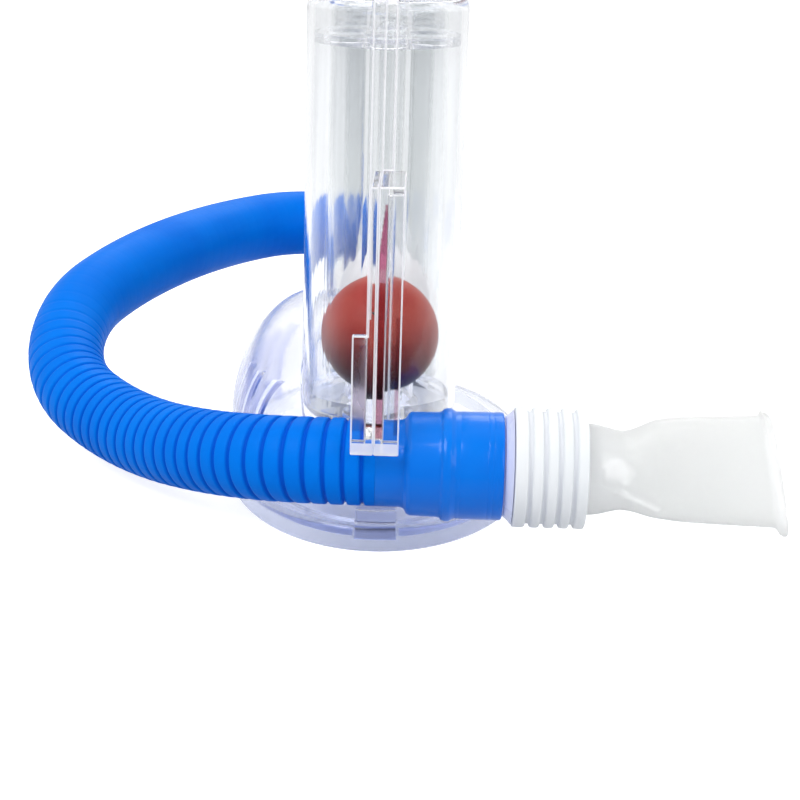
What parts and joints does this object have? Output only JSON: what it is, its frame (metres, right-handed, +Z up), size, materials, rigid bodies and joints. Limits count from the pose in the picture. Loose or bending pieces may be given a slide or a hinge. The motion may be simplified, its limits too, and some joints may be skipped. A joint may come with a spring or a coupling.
{
  "type": "incentive spirometer",
  "caption": "Clear upright breathing exerciser with floating balls in side-by-side chambers, an oval foot, and a blue corrugated hose with a flat mouthpiece parked in its clip.",
  "frame": {"origin": "middle of the foot's underside, on the surface it stands on", "axes": "+Z up; +Y along the row of chambers, from the clip end to the hose port end; +X towards the rear, -X towards the front cover"},
  "size_m": [0.2103, 0.223, 0.1365],
  "materials": {
    "clear_shell": "clear, polished",
    "clear_foot": "clear, polished",
    "clear_fitting": "translucent",
    "frosted_plastic": "frosted",
    "ball_red": "satin",
    "ball_white": "satin",
    "hose_blue": "satin",
    "collar_white": "satin",
    "mouthpiece_milky": "milky, translucent"
  },
  "bodies": {
    "device": {"front_shell": "clear_shell", "rear_shell": "clear_shell", "metering_seat_1": "frosted_plastic", "metering_seat_2": "frosted_plastic", "metering_seat_3": "frosted_plastic", "ball_stop_1": "frosted_plastic", "ball_stop_2": "frosted_plastic", "ball_stop_3": "frosted_plastic", "hose_spigot": "clear_fitting", "device_cuff": "hose_blue", "hose_tube": "hose_blue", "patient_cuff": "hose_blue", "adaptor": "clear_fitting", "foot": "clear_foot", "hose_rest": "clear_foot", "front_cover": "clear_foot", "air_box": "clear_foot"},
    "ball_1": {"ball_1": "ball_red"},
    "ball_2": {"ball_2": "ball_white"},
    "ball_3": {"ball_3": "ball_white"},
    "collar": {"ribbed_collar": "collar_white"},
    "mouthpiece": {"mouthpiece": "mouthpiece_milky"}
  },
  "joints": [
    {"name": "ball_1_rise", "type": "slide", "parent": "device", "child": "ball_1", "axis": [0, 0, 1], "range_m": [0, 0.0604]},
    {"name": "ball_2_rise", "type": "slide", "parent": "device", "child": "ball_2", "axis": [0, 0, 1], "range_m": [0, 0.0604]},
    {"name": "ball_3_rise", "type": "slide", "parent": "device", "child": "ball_3", "axis": [0, 0, 1], "range_m": [0, 0.0604]},
    {"name": "collar_turn", "type": "hinge", "parent": "device", "child": "collar", "pos_m": [0.04, -0.0628, 0.021], "axis": [1, 0, 0], "continuous": true},
    {"name": "mouthpiece_pull", "type": "slide", "parent": "collar", "child": "mouthpiece", "axis": [1, 0, 0], "range_m": [0, 0.012]}
  ]
}
